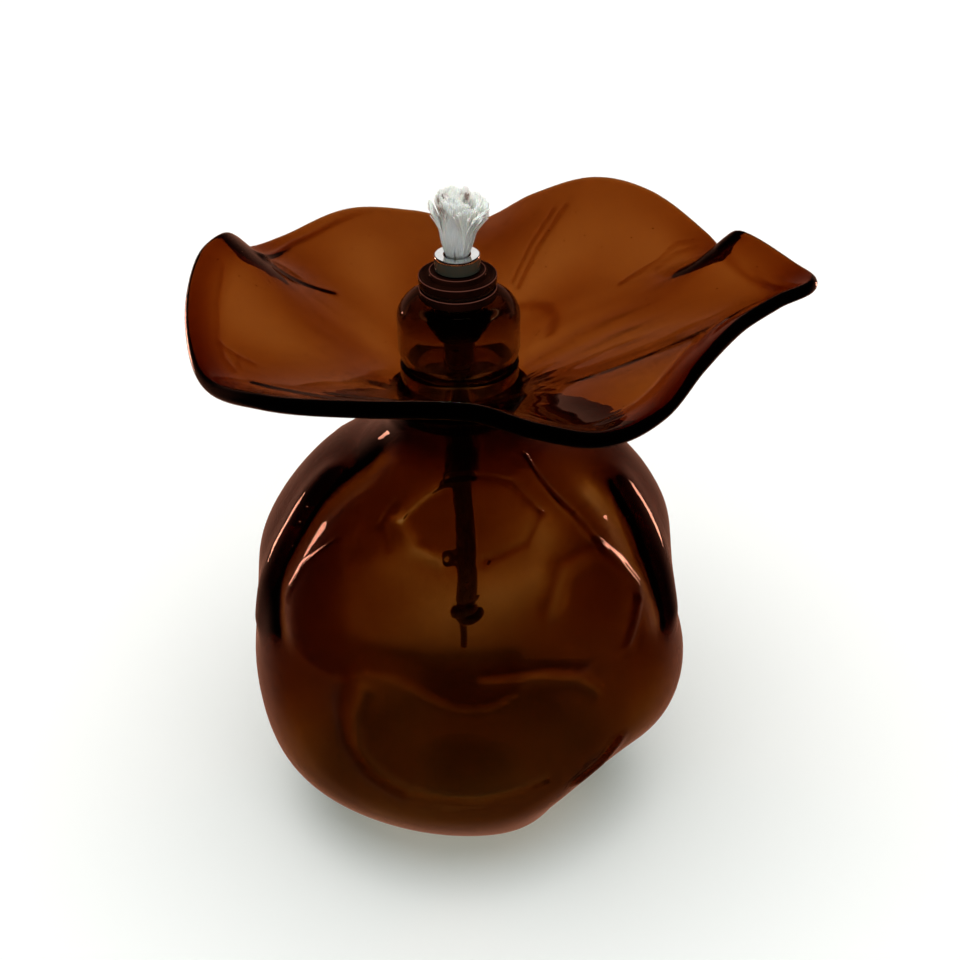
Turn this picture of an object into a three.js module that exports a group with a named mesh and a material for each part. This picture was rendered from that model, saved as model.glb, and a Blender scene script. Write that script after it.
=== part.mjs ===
// Refillable oil lamp in blown amber glass. Millimetres, +Z up, the front is -Y.
// The origin is the centre of the flat foot that the lamp stands on.
//
// reservoir bulb -> wavy dish plugged into its neck -> burner barrel standing in the
// dish's throat -> wick holder (cap, tube, ring) plugged into the barrel -> wick.
import * as THREE from 'three';

// ---- Driving dimensions ----
const GAP = 0.3;                 // left between pieces that touch

const FOOT_R = 22;               // flat that the bulb stands on
const BULB_R = 76;               // mean outer radius of the bulb
const BULB_MID_Z = 74;           // height of its widest place
const NECK_R = 24.5;             // outside of the bulb's neck
const NECK_BORE_R = 19.8;
const NECK_TOP_Z = 169.4;
const BULB_WALL = 3;

const SPIGOT_R = 19.3;           // tube of the dish that plugs into the neck
const THROAT_R = 16.7;           // bore of that tube
const SPIGOT_END_Z = 163;
const DISH_WALL = 2.6;

const BARREL_R = 20;             // burner barrel
const BARREL_TOP_Z = 203.4;
const BARREL_BASE_Z = 177.4;
const BARREL_WALL = 1.8;
const BARREL_TOP_WALL = 4.2;     // the shoulder is left thick round the mouth
const MOUTH_R = 9.6;             // mouth of the barrel, which the cap plugs
const STEM_R = 5.4;              // hollow stem under the barrel, round the wick
const STEM_BORE_R = 4.2;
const STEM_END_Z = 139.5;

const TUBE_R = 4.7;              // wick tube through the cap
const TUBE_BORE_R = 4;
const CAP_R = 12.6;
const CAP_HOLE_R = TUBE_R + GAP;
const CAP_TOP_Z = 211;
const CAP_STEP_R = 9.6;          // raised middle of the cap
const CAP_STEP_HEIGHT = 1.7;
const CAP_SPLIT_Z = 206.7;       // top of the cap's lower half
const PLUG_END_Z = 191.5;        // plug of the cap, inside the barrel
const PLUG_TAPER = 4.5;
const GASKET_HEIGHT = 0.9;
const RING_R = 7.4;              // polished ferrule on the top of the tube
const RING_TOP_Z = 218;
const RING_HEIGHT = 5;

const WICK_R = 3.15;
const TUFT_TOP_Z = 241;
const KNOT_TOP_Z = 81.5;
const KNOT_HEIGHT = 11.5;
const WICK_END_Z = 56;
const KNOT_END_R = 1.7;
const END_ROUTE = [[0, 0, KNOT_TOP_Z - KNOT_HEIGHT - GAP], [0.3, 0.2, 63], [0, 0, WICK_END_Z]];
// Middle line of the wick's free tail, from under the stem to the top of the knot.
const TAIL_ROUTE = [
  [0, 0, 137.2], [0, 0, 133.5], [0, 0, 130], [0.1, 0, 126.5], [0.2, 0.1, 123], [0.4, 0.1, 119.5],
  [0.5, 0.2, 116], [0.6, 0.3, 112.5], [0.6, 0.3, 109], [0.6, 0.3, 105.5], [0.5, 0.2, 102],
  [0.4, 0.1, 98.5], [0.3, 0, 95], [0.2, -0.1, 91.5], [0.1, -0.1, 88], [0, -0.1, 84.8], [0, 0, 81.8],
];

// Rim of the dish, anticlockwise from the right: angle in degrees, radius, height.
const RIM = [
  [0, 106, 211.5], [8, 92, 216.5], [17, 92, 204], [26, 93, 203.5], [43, 91, 210],
  [58, 91, 209], [72, 90.5, 199.5], [86, 91, 187], [101, 89, 193], [116, 90, 197],
  [134, 88, 195], [148, 85, 199], [158, 80, 210], [167, 78, 216.5], [176, 81, 216],
  [186, 83.5, 210], [198, 85.5, 203.5], [213, 88, 199.5], [230, 87, 204],
  [252, 84.5, 209], [272, 84.5, 210], [285, 87, 203], [298, 88.5, 196.5],
  [312, 88, 197.5], [324, 88, 205], [336, 92, 210], [345, 101, 212.5], [352, 110.5, 212.5],
];

// Swells (+) and dents (-) of the bulb: azimuth and elevation of the middle in degrees,
// reach in degrees, height in mm.
const LUMPS = [
  [25, 38, 32, 5],        // back right shoulder
  [150, 38, 26, 0.5],     // back left shoulder
  [0, 13, 13, -5],        // waist of the right side
  [345, -12, 20, 4],      // right cheek
  [320, -38, 17, -9],     // fold low on the right
  [205, -32, 26, 4.5],    // left cheek
  [300, -52, 14, 2],      // chin over the foot
  [309, 12, 17, -6],      // round dimple
  [270, 55, 16, -4],      // hollow under the neck
  [186, 12, 12, -3],      // waist of the left side
  [228, 8, 14, -3],       // thumb dent
  [95, 5, 30, -5],        // dent of the back
  [60, -30, 22, 4],       // back cheek
];

// ---- Materials ----
function finish(colour, roughness, metalness, opacity = 1) {
  const look = new THREE.MeshStandardMaterial({ color: colour, roughness, metalness });
  look.transparent = opacity < 1;
  look.opacity = opacity;
  return look;
}
const amberGlass = finish(0x8a4218, 0.05, 0, 0.55);
const darkGlass = finish(0x1c0804, 0.08, 0);
const darkRubber = finish(0x1a100c, 0.7, 0);
const amberSilicone = finish(0x7a4420, 0.3, 0, 0.6);
const polishedMetal = finish(0xc8c8c0, 0.12, 1);
const whiteFibre = finish(0xe8e4dc, 0.9, 0);
const oiledFibre = finish(0xb9a98c, 0.8, 0);

// ---- Shape helpers ----
const degrees = THREE.MathUtils.degToRad;
const smooth = (x, low, high) => THREE.MathUtils.smoothstep(x, low, high);

// Closed surface through rings of points with the same count. A ring of one point is a
// pole. When looped, the last ring joins the first and there are no poles.
function skin(rings, looped = false) {
  const corners = rings.flat().flatMap((p) => [p.x, p.y, p.z]);
  const starts = [];
  let total = 0;
  for (const ring of rings) {
    starts.push(total);
    total += ring.length;
  }
  const faces = [];
  const pairs = looped ? rings.length : rings.length - 1;
  for (let row = 0; row < pairs; row += 1) {
    const next = (row + 1) % rings.length;
    const around = Math.max(rings[row].length, rings[next].length);
    const at = (ring, k) => starts[ring] + (rings[ring].length === 1 ? 0 : k % around);
    for (let k = 0; k < around; k += 1) {
      if (rings[next].length > 1) faces.push(at(row, k), at(next, k + 1), at(next, k));
      if (rings[row].length > 1) faces.push(at(row, k), at(row, k + 1), at(next, k + 1));
    }
  }
  const geometry = new THREE.BufferGeometry();
  geometry.setAttribute('position', new THREE.Float32BufferAttribute(corners, 3));
  geometry.setIndex(faces);
  geometry.computeVertexNormals();
  return geometry;
}

// Piece turned about the Z axis. The profile lists [radius, height] anticlockwise, with
// the axis on the left, and closes on itself.
function turned(profile, around = 32) {
  const loop = [...profile, profile[0]].map(([r, z]) => new THREE.Vector2(r, z));
  const geometry = new THREE.LatheGeometry(loop, around);
  return geometry.rotateX(Math.PI / 2);
}

// Value on a closed curve through [angle, ...values] rows, at an angle in degrees.
function aroundRim(angle, column) {
  const count = RIM.length;
  const turn = (angle % 360 + 360) % 360;
  let i = count - 1;
  while (RIM[i][0] > turn) i -= 1;
  const row = (k) => RIM[(k + count) % count];
  const place = (k) => row(k)[0] + 360 * Math.floor(k / count);
  const slope = (k) => (row(k + 1)[column] - row(k - 1)[column]) / (place(k + 1) - place(k - 1));
  const span = place(i + 1) - place(i);
  const s = (turn - place(i)) / span;
  const rise = row(i + 1)[column] - row(i)[column];
  const bend = (1 - s) * (slope(i) * span - rise) - s * (slope(i + 1) * span - rise);
  return row(i)[column] + s * rise + s * (1 - s) * bend;
}

// ---- Reservoir bulb ----
const BULB_OUTSIDE = [
  [FOOT_R, 0], [46, 11], [68, 38], [BULB_R, BULB_MID_Z], [72, 107], [55, 134], [35, 147.5],
  [26, 156], [NECK_R, 163], [NECK_R, NECK_TOP_Z - 2],
];

function lumpAt(direction) {
  let height = 0;
  for (const [azimuth, elevation, reach, swell] of LUMPS) {
    const a = degrees(azimuth);
    const e = degrees(elevation);
    const middle = new THREE.Vector3(Math.cos(a) * Math.cos(e), Math.sin(a) * Math.cos(e), Math.sin(e));
    height += swell * Math.exp(-((middle.angleTo(direction) / degrees(reach)) ** 2));
  }
  return height;
}

function bulbRing(radius, height, around) {
  if (radius === 0) return [new THREE.Vector3(0, 0, height)];
  const centre = new THREE.Vector3(0, 0, BULB_MID_Z);
  const free = smooth(height, 0, 14) * (1 - smooth(height, 132, 156));
  const ring = [];
  for (let k = 0; k < around; k += 1) {
    const a = 2 * Math.PI * k / around;
    const point = new THREE.Vector3(radius * Math.cos(a), radius * Math.sin(a), height);
    const outward = point.clone().sub(centre).normalize();
    ring.push(point.addScaledVector(outward, free * lumpAt(outward)));
  }
  return ring;
}

function reservoirBulb() {
  const around = 48;
  const outside = new THREE.SplineCurve(BULB_OUTSIDE.map(([r, z]) => new THREE.Vector2(r, z)));
  const outer = outside.getPoints(24).map((p) => [p.x, p.y]);
  const inner = [];
  for (let i = 0; i <= 18; i += 1) {
    const place = outside.getPoint(1 - i / 18);
    const along = outside.getTangent(1 - i / 18);
    const wall = BULB_WALL + (NECK_R - NECK_BORE_R - BULB_WALL) * smooth(place.y, 150, 160);
    inner.push([place.x - wall * along.y, place.y + wall * along.x]);
  }
  const lip = [[NECK_R - 1.5, NECK_TOP_Z], [NECK_BORE_R + 2, NECK_TOP_Z]];
  const profile = [[0, 0], ...outer, ...lip, ...inner, [0, BULB_WALL + 1]];
  return skin(profile.map(([r, z]) => bulbRing(r, z, around)));
}

// ---- Wavy dish ----
// Rim averaged over a stretch that widens inwards, so that its folds fade in the bowl.
function softenedRim(angle, t, column) {
  const reach = 60 * (1 - t);
  let total = 0;
  for (let k = -2; k <= 2; k += 1) {
    total += (3 - Math.abs(k)) / 9 * aroundRim(angle + reach * k / 2, column);
  }
  return total;
}

// Middle of the dish's wall: t is 0 at the top of the spigot and 1 at the rim.
function dishMiddle(angle, t) {
  const rimR = softenedRim(angle, t, 1);
  const rimZ = softenedRim(angle, t, 2);
  const spigotMiddleR = (SPIGOT_R + THROAT_R) / 2;
  const start = [spigotMiddleR, 167];
  const rise = [spigotMiddleR + 0.6, 178];
  const sweep = [spigotMiddleR + 0.45 * (rimR - spigotMiddleR), 188];
  const mix = (i, end) => (1 - t) ** 3 * start[i] + 3 * t * (1 - t) ** 2 * rise[i]
    + 3 * t * t * (1 - t) * sweep[i] + t ** 3 * end;
  const r = mix(0, rimR);
  return new THREE.Vector3(r * Math.cos(degrees(angle)), r * Math.sin(degrees(angle)), mix(1, rimZ));
}

function dishFrame(angle, t) {
  const step = 0.01;
  const low = Math.max(0, t - step);
  const high = Math.min(1, t + step);
  const along = dishMiddle(angle, high).sub(dishMiddle(angle, low)).normalize();
  const across = dishMiddle(angle + 1, t).sub(dishMiddle(angle - 1, t));
  const up = across.cross(along).negate().normalize();
  return { middle: dishMiddle(angle, t), along, up };
}

function waveDish() {
  const around = 72;
  const rows = 9;
  const beadSteps = 4;
  const rimHalf = (angle) => 1.9 - 0.7 * Math.sin(degrees(angle));
  const half = (angle, t) => DISH_WALL / 2 + (rimHalf(angle) - DISH_WALL / 2) * smooth(t, 0.9, 1);
  const places = [];
  for (let j = 0; j <= rows; j += 1) places.push({ t: j / rows, tilt: -90 });
  for (let j = 1; j < beadSteps; j += 1) places.push({ t: 1, tilt: -90 + 180 * j / beadSteps });
  for (let j = rows; j >= 0; j -= 1) places.push({ t: j / rows, tilt: 90 });
  const rings = places.map(({ t, tilt }) => {
    const ring = [];
    for (let k = 0; k < around; k += 1) {
      const angle = 360 * k / around;
      const { middle, along, up } = dishFrame(angle, t);
      const h = half(angle, t);
      const point = middle.addScaledVector(up, h * Math.sin(degrees(tilt)));
      ring.push(point.addScaledVector(along, h * Math.cos(degrees(tilt))));
    }
    return ring;
  });
  const flat = (radius, z) => Array.from({ length: around }, (_, k) => {
    const a = 2 * Math.PI * k / around;
    return new THREE.Vector3(radius * Math.cos(a), radius * Math.sin(a), z);
  });
  rings.push(flat(THROAT_R, SPIGOT_END_Z), flat(SPIGOT_R, SPIGOT_END_Z));
  return skin(rings, true);
}

// ---- Burner and wick ----
// Profile through plain corners and arcs. An arc is [centre r, centre z, radius, from, to].
function outline(...items) {
  const points = [];
  for (const item of items) {
    if (item.length === 2) points.push(item);
    else {
      const [r, z, radius, from, to] = item;
      const steps = 4;
      for (let i = 0; i <= steps; i += 1) {
        const a = degrees(from + (to - from) * i / steps);
        points.push([r + radius * Math.cos(a), z + radius * Math.sin(a)]);
      }
    }
  }
  return points;
}

// Hollow glass barrel, open at the top, with a hollow stem under it.
function burnerBarrel() {
  const shoulder = 7;
  const innerShoulder = 6;
  const haunch = 9;
  const outerTop = [BARREL_R - shoulder, BARREL_TOP_Z - shoulder, shoulder, 0, 90];
  const outerBase = [BARREL_R - haunch, BARREL_BASE_Z + haunch, haunch, -90, 0];
  const ceiling = BARREL_TOP_Z - BARREL_TOP_WALL;
  const innerTop = [BARREL_R - BARREL_WALL - innerShoulder, ceiling - innerShoulder, innerShoulder, 90, 0];
  const innerBase = [BARREL_R - haunch, BARREL_BASE_Z + haunch, haunch - BARREL_WALL, 0, -90];
  return turned(outline(
    [STEM_R, STEM_END_Z + 1], [STEM_R, BARREL_BASE_Z - 1], [STEM_R + 1, BARREL_BASE_Z],
    outerBase, outerTop, [MOUTH_R, BARREL_TOP_Z], [MOUTH_R, ceiling],
    innerTop, innerBase, [STEM_BORE_R, BARREL_BASE_Z + BARREL_WALL],
    [STEM_BORE_R, STEM_END_Z], [STEM_R - 1, STEM_END_Z],
  ), 36);
}

// Soft ring in the flare of the throat, which the round underside of the barrel stands in.
function seatRing() {
  const boreR = 14.4;
  const sleeveR = THROAT_R - GAP;
  const lipR = 19.5;
  const sleeve = [[boreR, 166], [sleeveR, 166], [sleeveR, 168.4]];
  const flare = [[17.2, 171.4], [18.9, 173.8], [lipR, 175.4], [lipR, 179.8]];
  const seat = [[18.1, 180.3], [16, 178.5], [boreR, BARREL_BASE_Z + GAP]];
  return turned([...sleeve, ...flare, ...seat]);
}

// Lower half of the cap: a plug for the barrel's mouth under a flange.
function capCollar() {
  const plugR = MOUTH_R - GAP;
  const low = BARREL_TOP_Z + GAP;
  return turned([
    [CAP_HOLE_R, PLUG_END_Z], [CAP_HOLE_R + 0.8, PLUG_END_Z], [plugR, PLUG_END_Z + PLUG_TAPER],
    [plugR, low], [CAP_R, low], [CAP_R, CAP_SPLIT_Z], [CAP_HOLE_R, CAP_SPLIT_Z],
  ]);
}

function capGasket() {
  const low = CAP_SPLIT_Z + GAP;
  const high = low + GASKET_HEIGHT;
  const edgeR = CAP_R - 0.7;
  return turned([[CAP_HOLE_R, low], [edgeR, low], [edgeR, high], [CAP_HOLE_R, high]]);
}

// Upper half of the cap: a disc with a raised middle.
function capPlate() {
  const low = CAP_SPLIT_Z + 2 * GAP + GASKET_HEIGHT;
  const high = CAP_TOP_Z + CAP_STEP_HEIGHT;
  const edge = 0.4;
  return turned([
    [CAP_HOLE_R, low], [CAP_R, low], [CAP_R, CAP_TOP_Z - edge], [CAP_R - edge, CAP_TOP_Z],
    [CAP_STEP_R, CAP_TOP_Z], [CAP_STEP_R - 0.3, high - edge], [CAP_STEP_R - 1.4, high],
    [CAP_HOLE_R, high],
  ]);
}

function wickTube() {
  const top = RING_TOP_Z - 1.1;
  const low = BARREL_BASE_Z + BARREL_WALL + 1;
  return turned([[TUBE_BORE_R, low], [TUBE_R, low], [TUBE_R, top], [TUBE_BORE_R, top]]);
}

// Ferrule slipped over the top of the tube, with a lip over its end.
function wickRing() {
  const low = RING_TOP_Z - RING_HEIGHT;
  const lipLow = RING_TOP_Z - 0.8;
  const edge = 0.5;
  return turned([
    [TUBE_R + GAP, low], [RING_R, low], [RING_R, RING_TOP_Z - edge], [RING_R - edge, RING_TOP_Z],
    [TUBE_BORE_R + edge, RING_TOP_Z], [TUBE_BORE_R, RING_TOP_Z - edge], [TUBE_BORE_R, lipLow],
    [TUBE_R + GAP, lipLow],
  ]);
}

// Straight stretch of wick through the tube and the stem.
function wickCore() {
  const low = STEM_END_Z - 2;
  const high = RING_TOP_Z - 1.6;
  return new THREE.CylinderGeometry(WICK_R, WICK_R, high - low, 12)
    .rotateX(Math.PI / 2).translate(0, 0, (high + low) / 2);
}

// Frayed top of the wick: a sheaf that leaves the ring and fans out, widest to the right.
function wickTuft() {
  const around = 20;
  const low = RING_TOP_Z - 1.3;
  const levels = [[low, 3.3], [219.6, 3.6], [222, 5], [226, 5.3], [231, 7], [235, 9.2], [238, 9.8]];
  const rings = levels.map(([z, radius], row) => {
    const ring = [];
    const spread = row / (levels.length - 1);
    for (let k = 0; k < around; k += 1) {
      const a = 2 * Math.PI * k / around;
      const strand = k % 2 === 0 ? 1 : 1 - 0.22 * spread;
      const right = 1 + 0.12 * spread * Math.cos(a);
      const droop = 1.6 * spread * spread * Math.cos(3 * a + 0.6);
      const r = radius * strand * right;
      ring.push(new THREE.Vector3(r * Math.cos(a), 0.75 * r * Math.sin(a), z + droop));
    }
    return ring;
  });
  const centre = (z) => [new THREE.Vector3(0, 0, z)];
  return skin([centre(low), ...rings, centre(TUFT_TOP_Z)]);
}

// Tube round a route of points.
function cordAlong(points, radius) {
  const section = new THREE.Shape();
  section.absarc(0, 0, radius, 0, 2 * Math.PI);
  const route = new THREE.CatmullRomCurve3(points.map((p) => new THREE.Vector3(...p)));
  const steps = Math.max(2, Math.round(route.getLength() / (4 * radius)));
  return new THREE.ExtrudeGeometry(section, { steps, curveSegments: 8, extrudePath: route });
}

// Overhand knot at the end of the wick, as one lumpy ball.
function wickKnot() {
  const levels = [[0, 2.6], [0.12, 4.6], [0.35, 5.6], [0.6, 5.2], [0.85, 4.2], [1, 2.4]];
  const around = 14;
  const low = KNOT_TOP_Z - KNOT_HEIGHT;
  const rings = levels.map(([level, radius]) => Array.from({ length: around }, (_, k) => {
    const a = 2 * Math.PI * k / around;
    const r = radius * (1 + 0.12 * Math.sin(2 * a + 3 * level));
    return new THREE.Vector3(r * Math.cos(a), r * Math.sin(a), low + level * KNOT_HEIGHT);
  }));
  const centre = (z) => [new THREE.Vector3(0, 0, z)];
  return skin([centre(low), ...rings, centre(KNOT_TOP_Z)]);
}

// ---- Lamp: each group lifts out of the one that it is in ----
function assembly(parent, pieces) {
  const group = new THREE.Group();
  for (const [name, geometry, material] of pieces) {
    const piece = new THREE.Mesh(geometry, material);
    piece.name = name;
    group.add(piece);
  }
  parent?.add(group);
  return group;
}

const lamp = assembly(null, [['reservoir_bulb', reservoirBulb(), amberGlass]]);
const dish = assembly(lamp, [
  ['wave_dish', waveDish(), amberGlass],
  ['seat_ring', seatRing(), amberSilicone],
]);
const burner = assembly(dish, [['burner_barrel', burnerBarrel(), amberGlass]]);
const holder = assembly(burner, [
  ['cap_collar', capCollar(), darkGlass],
  ['cap_gasket', capGasket(), darkRubber],
  ['cap_plate', capPlate(), darkGlass],
  ['wick_tube', wickTube(), darkGlass],
  ['wick_ring', wickRing(), polishedMetal],
]);
assembly(holder, [
  ['wick_core', wickCore(), whiteFibre],
  ['wick_tuft', wickTuft(), whiteFibre],
  ['wick_tail', cordAlong(TAIL_ROUTE, WICK_R), oiledFibre],
  ['wick_knot', wickKnot(), oiledFibre],
  ['knot_end', cordAlong(END_ROUTE, KNOT_END_R), oiledFibre],
]);

export default lamp;
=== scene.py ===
"""Blown-glass oil lamp: the looks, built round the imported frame. Metres, +Z up, front -Y."""

import math
import random

import bpy
import numpy as np
from mathutils import Matrix, Vector


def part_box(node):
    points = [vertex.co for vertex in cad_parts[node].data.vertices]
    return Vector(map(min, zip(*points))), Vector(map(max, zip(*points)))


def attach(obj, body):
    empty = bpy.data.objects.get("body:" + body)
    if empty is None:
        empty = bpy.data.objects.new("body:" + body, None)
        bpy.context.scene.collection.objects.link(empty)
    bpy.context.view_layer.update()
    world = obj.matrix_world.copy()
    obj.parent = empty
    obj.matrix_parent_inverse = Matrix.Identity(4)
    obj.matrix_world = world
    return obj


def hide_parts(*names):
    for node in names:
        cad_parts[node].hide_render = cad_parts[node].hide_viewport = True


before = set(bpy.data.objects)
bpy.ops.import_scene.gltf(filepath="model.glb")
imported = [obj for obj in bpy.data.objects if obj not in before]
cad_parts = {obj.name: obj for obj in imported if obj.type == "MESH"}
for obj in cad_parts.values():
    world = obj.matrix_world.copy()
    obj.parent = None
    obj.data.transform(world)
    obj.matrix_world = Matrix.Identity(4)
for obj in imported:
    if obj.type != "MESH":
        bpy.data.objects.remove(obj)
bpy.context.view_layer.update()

MM = 0.001
random.seed(7)


def span(node):
    """Lowest and highest corner of a CAD node, in millimetres."""
    low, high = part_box(node)
    return np.array(low) / MM, np.array(high) / MM


# ---- Sizes in millimetres, taken from the frame where it holds them ----
GAP = 0.3
BULB_HIGH = span("reservoir_bulb")[1][2]
FOOT_R, BULB_R, BULB_MID_Z = 22, 76, 74
NECK_R, NECK_BORE_R, BULB_WALL, LIP_HEIGHT = 24.5, 19.8, 3, 2
DISH_LOW = span("wave_dish")[0][2]
SPIGOT_R, THROAT_R, DISH_WALL = 19.3, 16.7, 2.6
SPIGOT_TOP_Z, THROAT_FLARE_Z, BOWL_Z = 167, 178, 188
BARREL_R, BARREL_WALL, BARREL_BASE_Z = span("burner_barrel")[1][0], 1.8, 177.4
BARREL_HIGH, STEM_LOW = span("burner_barrel")[1][2], span("burner_barrel")[0][2]
BARREL_TOP_WALL = 4.2
MOUTH_R, STEM_R, STEM_BORE_R = 9.6, 5.4, 4.2
SEAT_BORE_R, SEAT_LOW = 14.4, 166
CAP_R, CAP_HIGH = span("cap_plate")[1][0], span("cap_plate")[1][2]
PLUG_LOW, PLUG_TAPER, CAP_STEP_HEIGHT = 191.5, 4.5, 1.7
TUBE_R, TUBE_BORE_R = span("wick_tube")[1][0], 4
RING_R, RING_LOW, RING_HIGH = span("wick_ring")[1][0], span("wick_ring")[0][2], span("wick_ring")[1][2]
# Height above which the ring is polished and bright; below it the side is painted dark.
RING_BRIGHT_Z = 217.2
WICK_R = 3.15
TUFT_LOW, TUFT_HIGH = span("wick_tuft")[0][2], span("wick_tuft")[1][2]
KNOT_LOW, KNOT_HIGH = span("wick_knot")[0][2], span("wick_knot")[1][2]
TAIL_ROUTE = [
    [0, 0, 137.2], [0, 0, 133.5], [0, 0, 130], [0.1, 0, 126.5], [0.2, 0.1, 123], [0.4, 0.1, 119.5],
    [0.5, 0.2, 116], [0.6, 0.3, 112.5], [0.6, 0.3, 109], [0.6, 0.3, 105.5], [0.5, 0.2, 102],
    [0.4, 0.1, 98.5], [0.3, 0, 95], [0.2, -0.1, 91.5], [0.1, -0.1, 88], [0, -0.1, 84.8], [0, 0, 81.8],
]


# ---- Camera ----
def add_camera():
    """Looks down at the lamp from the front, about 33 degrees above the floor."""
    pitch, roll, distance = math.radians(33), math.radians(1), 0.5828
    aim = Vector((0.006, 0, 0.1327))
    forward = Vector((0, math.cos(pitch), -math.sin(pitch)))
    level = Vector((1, 0, 0))
    rise = Vector((0, math.sin(pitch), math.cos(pitch)))
    right = level * math.cos(roll) - rise * math.sin(roll)
    up = rise * math.cos(roll) + level * math.sin(roll)
    data = bpy.data.cameras.new("camera")
    data.lens, data.sensor_width = 63.75, 36
    camera = bpy.data.objects.new("camera", data)
    turn = Matrix((right, up, -forward)).transposed()
    camera.matrix_world = Matrix.Translation(aim - forward * distance) @ turn.to_4x4()
    bpy.context.scene.collection.objects.link(camera)
    bpy.context.scene.camera = camera


add_camera()


# ---- Materials ----
def shader(name, **inputs):
    """A material and its Principled shader, with constants set on the shader's sockets."""
    material = bpy.data.materials.new(name)
    material.use_nodes = True
    principled = material.node_tree.nodes["Principled BSDF"]
    for socket, value in inputs.items():
        principled.inputs[socket.replace("_", " ")].default_value = value
    return material, principled


def add(owner, kind, inputs=(), **settings):
    """A node of a material or world: its settings, its constants and what it is linked from."""
    tree = owner.node_tree
    node = tree.nodes.new(kind)
    for key, value in settings.items():
        setattr(node, key, value)
    for socket, value in dict(inputs).items():
        if isinstance(value, bpy.types.NodeSocket):
            tree.links.new(value, node.inputs[socket])
        else:
            node.inputs[socket].default_value = value
    return node


def object_space(material, scale=(1, 1, 1)):
    """Place on the piece, in metres, stretched by the scale."""
    place = add(material, "ShaderNodeTexCoord").outputs["Object"]
    return add(material, "ShaderNodeMapping", {"Vector": place, "Scale": scale}).outputs["Vector"]


def noise(material, place, scale, detail=2.0, roughness=0.5):
    """Cloudy noise from 0 to 1."""
    return add(
        material, "ShaderNodeTexNoise",
        {"Vector": place, "Scale": scale, "Detail": detail, "Roughness": roughness},
    ).outputs["Fac"]


def grey(value):
    return (value, value, value)


def ramp(owner, factor, stops):
    """Colour ramp through (position, colour) stops."""
    node = add(owner, "ShaderNodeValToRGB", {"Fac": factor})
    elements = node.color_ramp.elements
    while len(elements) < len(stops):
        elements.new(0.5)
    for element, (position, colour) in zip(elements, stops):
        element.position = position
        element.color = (*colour, 1)
    return node.outputs["Color"]


def blend(material, factor, low, high):
    """Colour that goes from low to high with the factor. Each is a colour or an output."""
    inputs = {"Factor": factor, "A": low, "B": high}
    return add(material, "ShaderNodeMix", inputs, data_type="RGBA").outputs["Result"]


def maths(owner, operation, first, second):
    """Outcome of a sum or test on two values or outputs."""
    return add(owner, "ShaderNodeMath", {0: first, 1: second}, operation=operation).outputs["Value"]


def attribute(material, name):
    """Value that a mesh carries at its points."""
    return add(material, "ShaderNodeAttribute", attribute_name=name).outputs["Fac"]


def bump(material, height, distance, strength=1.0, under=None):
    """Normal that is tilted by a height. The distance is in metres."""
    inputs = {"Height": height, "Distance": distance, "Strength": strength}
    if under is not None:
        inputs["Normal"] = under
    return add(material, "ShaderNodeBump", inputs).outputs["Normal"]


def link(owner, output, socket):
    owner.node_tree.links.new(output, socket)


def glass(name, absorption, tint, bubbles=0.0, waves=0.35 * MM, ior=1.47, haze=0.0):
    """Hand-blown glass: coloured through its thickness, with slow waves and fine bubbles.
    absorption is per metre for red, green and blue, and bubbles is their scale, 0 for none."""
    material, principled = shader(
        name, Transmission_Weight=1.0, IOR=ior, Specular_Tint=(0.42, 0.15, 0.1, 1)
    )
    densest = max(absorption)
    clear = [1 - value / densest for value in absorption]
    volume = add(
        material, "ShaderNodeVolumeAbsorption", {"Density": densest, "Color": (*clear, 1)}
    )
    output = material.node_tree.nodes["Material Output"]
    link(material, volume.outputs["Volume"], output.inputs["Volume"])
    place = object_space(material)
    streaks = noise(material, object_space(material, (1, 1, 0.35)), 38, 3, 0.55)
    pale = [min(1, channel * 1.12) for channel in tint]
    tone = ramp(material, streaks, [(0.3, tint), (0.7, pale)])
    clouds = noise(material, place, 55, 4)
    film = ramp(material, clouds, [(0.45, grey(haze)), (0.8, grey(haze + 0.05))])
    link(material, film, principled.inputs["Roughness"])
    normal = bump(material, noise(material, place, 48, 2, 0.4), waves)
    if bubbles:
        cells = add(
            material, "ShaderNodeTexVoronoi", {"Vector": place, "Scale": bubbles, "Randomness": 1.0}
        ).outputs["Distance"]
        dots = ramp(material, cells, [(0.035, grey(1)), (0.06, grey(0))])
        normal = bump(material, dots, 0.25 * MM, 0.8, normal)
        tone = blend(material, dots, tone, (0.4, 0.3, 0.3, 1))
    link(material, tone, principled.inputs["Base Color"])
    link(material, normal, principled.inputs["Normal"])
    return material


def dark_gloss(name):
    """Thick glass of the cap, black, with painted pinkish-brown highlights along its thin edges, where
    'edge' is 1.
    """
    material, principled = shader(
        name, Roughness=0.09, Specular_IOR_Level=0.06, Specular_Tint=(0.8, 0.34, 0.24, 1),
    )
    place = object_space(material)
    clouds = noise(material, place, 90, 3)
    tone = ramp(material, clouds, [(0.35, (0.006, 0.0015, 0.0008)), (0.7, (0.016, 0.004, 0.002))])
    # Painted highlight: lighter pinkish-brown where the 'edge' attribute is 1, in place of light caught by
    # the cap's edges.
    tone = blend(material, attribute(material, "edge"), tone, (0.2, 0.07, 0.05, 1))
    link(material, tone, principled.inputs["Base Color"])
    link(material, bump(material, noise(material, place, 260, 2), 0.05 * MM), principled.inputs["Normal"])
    return material


def rubber(name):
    """Matt, nearly black gasket rubber with a fine grain."""
    material, principled = shader(name, Roughness=0.55, IOR=1.5)
    place = object_space(material)
    grain = noise(material, place, 900, 3)
    tone = ramp(material, grain, [(0.3, (0.008, 0.003, 0.002)), (0.7, (0.02, 0.008, 0.005))])
    link(material, tone, principled.inputs["Base Color"])
    link(material, bump(material, grain, 0.05 * MM, 0.5), principled.inputs["Normal"])
    return material


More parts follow.
